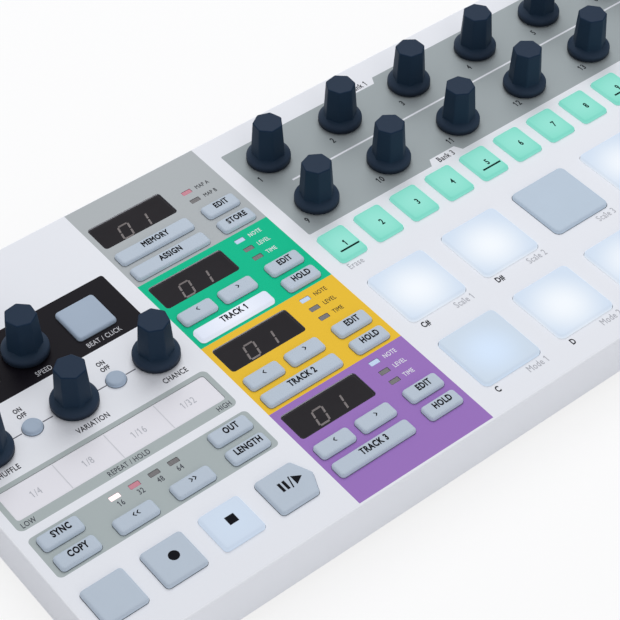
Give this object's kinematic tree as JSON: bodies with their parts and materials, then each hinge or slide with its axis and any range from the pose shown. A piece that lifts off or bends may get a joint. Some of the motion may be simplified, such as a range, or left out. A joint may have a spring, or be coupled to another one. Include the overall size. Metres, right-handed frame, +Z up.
{
  "type": "midi controller",
  "caption": "Low desktop music controller: white cover with a coloured key column, grip-flat endless knobs, lit step keys, square pads, touch strip and rear mini-jack sockets.",
  "frame": {"origin": "centre of the footprint on the table, under the rubber feet", "axes": "+X to the user's right along the long side, +Y to the back where the sockets are, +Z up through the panel"},
  "size_m": [0.409, 0.1616, 0.038],
  "materials": {
    "cover_white": "fine satin moulded plastic, printed with grey, black and coloured fields",
    "tray_black": "black powder-coated folded steel",
    "board_green": "solder-masked circuit board",
    "steel": "bright plated steel",
    "display_black": "black potted digit module",
    "smoked_window": "smoked clear window",
    "lamp_lens": "clear frosted lens",
    "strip_white": "smooth satin white strip",
    "socket_black": "black moulded socket",
    "nut_metal": "nickel-plated ring nut",
    "foot_rubber": "matt black rubber",
    "knob_slate": "soft-touch dark slate",
    "step_silicone": "translucent silicone lit mint green from below",
    "key_silicone": "translucent pale silicone",
    "pad_silicone": "translucent pale silicone, lit white from below"
  },
  "bodies": {
    "case": {"top_cover": "cover_white", "base_tray": "tray_black", "main_board": "board_green", "encoder_bodies": "steel", "display_modules": "display_black", "display_windows": "smoked_window", "lamp_lenses": "lamp_lens", "touch_strip": "strip_white", "jack_sockets": "socket_black", "jack_nuts": "nut_metal", "usb_socket": "steel", "rubber_feet": "foot_rubber", "screws": "steel"},
    "knob_1": {"knob_1": "knob_slate"},
    "knob_2": {"knob_2": "knob_slate"},
    "knob_3": {"knob_3": "knob_slate"},
    "knob_4": {"knob_4": "knob_slate"},
    "knob_5": {"knob_5": "knob_slate"},
    "knob_6": {"knob_6": "knob_slate"},
    "knob_7": {"knob_7": "knob_slate"},
    "knob_8": {"knob_8": "knob_slate"},
    "knob_9": {"knob_9": "knob_slate"},
    "knob_10": {"knob_10": "knob_slate"},
    "knob_11": {"knob_11": "knob_slate"},
    "knob_12": {"knob_12": "knob_slate"},
    "knob_13": {"knob_13": "knob_slate"},
    "knob_14": {"knob_14": "knob_slate"},
    "knob_15": {"knob_15": "knob_slate"},
    "knob_16": {"knob_16": "knob_slate"},
    "tempo_knob": {"tempo_knob": "knob_slate"},
    "shuffle_knob": {"shuffle_knob": "knob_slate"},
    "variation_knob": {"variation_knob": "knob_slate"},
    "chance_knob": {"chance_knob": "knob_slate"},
    "step_key_1": {"step_key_1": "step_silicone"},
    "step_key_2": {"step_key_2": "step_silicone"},
    "step_key_3": {"step_key_3": "step_silicone"},
    "step_key_4": {"step_key_4": "step_silicone"},
    "step_key_5": {"step_key_5": "step_silicone"},
    "step_key_6": {"step_key_6": "step_silicone"},
    "step_key_7": {"step_key_7": "step_silicone"},
    "step_key_8": {"step_key_8": "step_silicone"},
    "step_key_9": {"step_key_9": "step_silicone"},
    "step_key_10": {"step_key_10": "step_silicone"},
    "step_key_11": {"step_key_11": "step_silicone"},
    "step_key_12": {"step_key_12": "step_silicone"},
    "step_key_13": {"step_key_13": "step_silicone"},
    "step_key_14": {"step_key_14": "step_silicone"},
    "step_key_15": {"step_key_15": "step_silicone"},
    "step_key_16": {"step_key_16": "step_silicone"},
    "shift_key": {"shift_key": "key_silicone"},
    "record_key": {"record_key": "key_silicone"},
    "stop_key": {"stop_key": "key_silicone"},
    "play_key": {"play_key": "key_silicone"},
    "tap_key": {"tap_key": "key_silicone"},
    "track_3_keypad": {"track_3_keypad": "key_silicone"},
    "track_2_keypad": {"track_2_keypad": "key_silicone"},
    "track_1_keypad": {"track_1_keypad": "key_silicone"},
    "memory_keypad": {"memory_keypad": "key_silicone"},
    "left_keypad": {"left_keypad": "key_silicone"},
    "pad_mat": {"pad_mat": "pad_silicone"}
  },
  "joints": [
    {"name": "knob_1_turn", "type": "hinge", "parent": "case", "child": "knob_1", "pos_m": [-0.0425, 0.05865, 0.0206], "axis": [0, 0, 1], "continuous": true},
    {"name": "knob_2_turn", "type": "hinge", "parent": "case", "child": "knob_2", "pos_m": [-0.01, 0.05865, 0.0206], "axis": [0, 0, 1], "continuous": true},
    {"name": "knob_3_turn", "type": "hinge", "parent": "case", "child": "knob_3", "pos_m": [0.0225, 0.05865, 0.0206], "axis": [0, 0, 1], "continuous": true},
    {"name": "knob_4_turn", "type": "hinge", "parent": "case", "child": "knob_4", "pos_m": [0.055, 0.05865, 0.0206], "axis": [0, 0, 1], "continuous": true},
    {"name": "knob_5_turn", "type": "hinge", "parent": "case", "child": "knob_5", "pos_m": [0.0875, 0.05865, 0.0206], "axis": [0, 0, 1], "continuous": true},
    {"name": "knob_6_turn", "type": "hinge", "parent": "case", "child": "knob_6", "pos_m": [0.12, 0.05865, 0.0206], "axis": [0, 0, 1], "continuous": true},
    {"name": "knob_7_turn", "type": "hinge", "parent": "case", "child": "knob_7", "pos_m": [0.1525, 0.05865, 0.0206], "axis": [0, 0, 1], "continuous": true},
    {"name": "knob_8_turn", "type": "hinge", "parent": "case", "child": "knob_8", "pos_m": [0.185, 0.05865, 0.0206], "axis": [0, 0, 1], "continuous": true},
    {"name": "knob_9_turn", "type": "hinge", "parent": "case", "child": "knob_9", "pos_m": [-0.0425, 0.03155, 0.0206], "axis": [0, 0, 1], "continuous": true},
    {"name": "knob_10_turn", "type": "hinge", "parent": "case", "child": "knob_10", "pos_m": [-0.01, 0.03155, 0.0206], "axis": [0, 0, 1], "continuous": true},
    {"name": "knob_11_turn", "type": "hinge", "parent": "case", "child": "knob_11", "pos_m": [0.0225, 0.03155, 0.0206], "axis": [0, 0, 1], "continuous": true},
    {"name": "knob_12_turn", "type": "hinge", "parent": "case", "child": "knob_12", "pos_m": [0.055, 0.03155, 0.0206], "axis": [0, 0, 1], "continuous": true},
    {"name": "knob_13_turn", "type": "hinge", "parent": "case", "child": "knob_13", "pos_m": [0.0875, 0.03155, 0.0206], "axis": [0, 0, 1], "continuous": true},
    {"name": "knob_14_turn", "type": "hinge", "parent": "case", "child": "knob_14", "pos_m": [0.12, 0.03155, 0.0206], "axis": [0, 0, 1], "continuous": true},
    {"name": "knob_15_turn", "type": "hinge", "parent": "case", "child": "knob_15", "pos_m": [0.1525, 0.03155, 0.0206], "axis": [0, 0, 1], "continuous": true},
    {"name": "knob_16_turn", "type": "hinge", "parent": "case", "child": "knob_16", "pos_m": [0.185, 0.03155, 0.0206], "axis": [0, 0, 1], "continuous": true},
    {"name": "tempo_knob_turn", "type": "hinge", "parent": "case", "child": "tempo_knob", "pos_m": [-0.1594, 0.03505, 0.0206], "axis": [0, 0, 1], "continuous": true},
    {"name": "shuffle_knob_turn", "type": "hinge", "parent": "case", "child": "shuffle_knob", "pos_m": [-0.1908, 0.00695, 0.0206], "axis": [0, 0, 1], "continuous": true},
    {"name": "variation_knob_turn", "type": "hinge", "parent": "case", "child": "variation_knob", "pos_m": [-0.1594, 0.00695, 0.0206], "axis": [0, 0, 1], "continuous": true},
    {"name": "chance_knob_turn", "type": "hinge", "parent": "case", "child": "chance_knob", "pos_m": [-0.128, 0.00695, 0.0206], "axis": [0, 0, 1], "continuous": true},
    {"name": "step_key_1_press", "type": "slide", "parent": "case", "child": "step_key_1", "axis": [0, 0, -1], "range_m": [0, 0.001], "stiffness_N_per_m": 500, "springref_m": -0.0004},
    {"name": "step_key_2_press", "type": "slide", "parent": "case", "child": "step_key_2", "axis": [0, 0, -1], "range_m": [0, 0.001], "stiffness_N_per_m": 500, "springref_m": -0.0004},
    {"name": "step_key_3_press", "type": "slide", "parent": "case", "child": "step_key_3", "axis": [0, 0, -1], "range_m": [0, 0.001], "stiffness_N_per_m": 500, "springref_m": -0.0004},
    {"name": "step_key_4_press", "type": "slide", "parent": "case", "child": "step_key_4", "axis": [0, 0, -1], "range_m": [0, 0.001], "stiffness_N_per_m": 500, "springref_m": -0.0004},
    {"name": "step_key_5_press", "type": "slide", "parent": "case", "child": "step_key_5", "axis": [0, 0, -1], "range_m": [0, 0.001], "stiffness_N_per_m": 500, "springref_m": -0.0004},
    {"name": "step_key_6_press", "type": "slide", "parent": "case", "child": "step_key_6", "axis": [0, 0, -1], "range_m": [0, 0.001], "stiffness_N_per_m": 500, "springref_m": -0.0004},
    {"name": "step_key_7_press", "type": "slide", "parent": "case", "child": "step_key_7", "axis": [0, 0, -1], "range_m": [0, 0.001], "stiffness_N_per_m": 500, "springref_m": -0.0004},
    {"name": "step_key_8_press", "type": "slide", "parent": "case", "child": "step_key_8", "axis": [0, 0, -1], "range_m": [0, 0.001], "stiffness_N_per_m": 500, "springref_m": -0.0004},
    {"name": "step_key_9_press", "type": "slide", "parent": "case", "child": "step_key_9", "axis": [0, 0, -1], "range_m": [0, 0.001], "stiffness_N_per_m": 500, "springref_m": -0.0004},
    {"name": "step_key_10_press", "type": "slide", "parent": "case", "child": "step_key_10", "axis": [0, 0, -1], "range_m": [0, 0.001], "stiffness_N_per_m": 500, "springref_m": -0.0004},
    {"name": "step_key_11_press", "type": "slide", "parent": "case", "child": "step_key_11", "axis": [0, 0, -1], "range_m": [0, 0.001], "stiffness_N_per_m": 500, "springref_m": -0.0004},
    {"name": "step_key_12_press", "type": "slide", "parent": "case", "child": "step_key_12", "axis": [0, 0, -1], "range_m": [0, 0.001], "stiffness_N_per_m": 500, "springref_m": -0.0004},
    {"name": "step_key_13_press", "type": "slide", "parent": "case", "child": "step_key_13", "axis": [0, 0, -1], "range_m": [0, 0.001], "stiffness_N_per_m": 500, "springref_m": -0.0004},
    {"name": "step_key_14_press", "type": "slide", "parent": "case", "child": "step_key_14", "axis": [0, 0, -1], "range_m": [0, 0.001], "stiffness_N_per_m": 500, "springref_m": -0.0004},
    {"name": "step_key_15_press", "type": "slide", "parent": "case", "child": "step_key_15", "axis": [0, 0, -1], "range_m": [0, 0.001], "stiffness_N_per_m": 500, "springref_m": -0.0004},
    {"name": "step_key_16_press", "type": "slide", "parent": "case", "child": "step_key_16", "axis": [0, 0, -1], "range_m": [0, 0.001], "stiffness_N_per_m": 500, "springref_m": -0.0004},
    {"name": "shift_key_press", "type": "slide", "parent": "case", "child": "shift_key", "axis": [0, 0, -1], "range_m": [0, 0.001], "stiffness_N_per_m": 500, "springref_m": -0.0004},
    {"name": "record_key_press", "type": "slide", "parent": "case", "child": "record_key", "axis": [0, 0, -1], "range_m": [0, 0.001], "stiffness_N_per_m": 500, "springref_m": -0.0004},
    {"name": "stop_key_press", "type": "slide", "parent": "case", "child": "stop_key", "axis": [0, 0, -1], "range_m": [0, 0.001], "stiffness_N_per_m": 500, "springref_m": -0.0004},
    {"name": "play_key_press", "type": "slide", "parent": "case", "child": "play_key", "axis": [0, 0, -1], "range_m": [0, 0.001], "stiffness_N_per_m": 500, "springref_m": -0.0004},
    {"name": "tap_key_press", "type": "slide", "parent": "case", "child": "tap_key", "axis": [0, 0, -1], "range_m": [0, 0.001], "stiffness_N_per_m": 500, "springref_m": -0.0004},
    {"name": "track_3_keypad_press", "type": "slide", "parent": "case", "child": "track_3_keypad", "axis": [0, 0, -1], "range_m": [0, 0.001], "stiffness_N_per_m": 500, "springref_m": -0.0004},
    {"name": "track_2_keypad_press", "type": "slide", "parent": "case", "child": "track_2_keypad", "axis": [0, 0, -1], "range_m": [0, 0.001], "stiffness_N_per_m": 500, "springref_m": -0.0004},
    {"name": "track_1_keypad_press", "type": "slide", "parent": "case", "child": "track_1_keypad", "axis": [0, 0, -1], "range_m": [0, 0.001], "stiffness_N_per_m": 500, "springref_m": -0.0004},
    {"name": "memory_keypad_press", "type": "slide", "parent": "case", "child": "memory_keypad", "axis": [0, 0, -1], "range_m": [0, 0.001], "stiffness_N_per_m": 500, "springref_m": -0.0004},
    {"name": "left_keypad_press", "type": "slide", "parent": "case", "child": "left_keypad", "axis": [0, 0, -1], "range_m": [0, 0.001], "stiffness_N_per_m": 500, "springref_m": -0.0004},
    {"name": "pad_mat_press", "type": "slide", "parent": "case", "child": "pad_mat", "axis": [0, 0, -1], "range_m": [0, 0.0006], "stiffness_N_per_m": 4000, "springref_m": -0.0006}
  ]
}
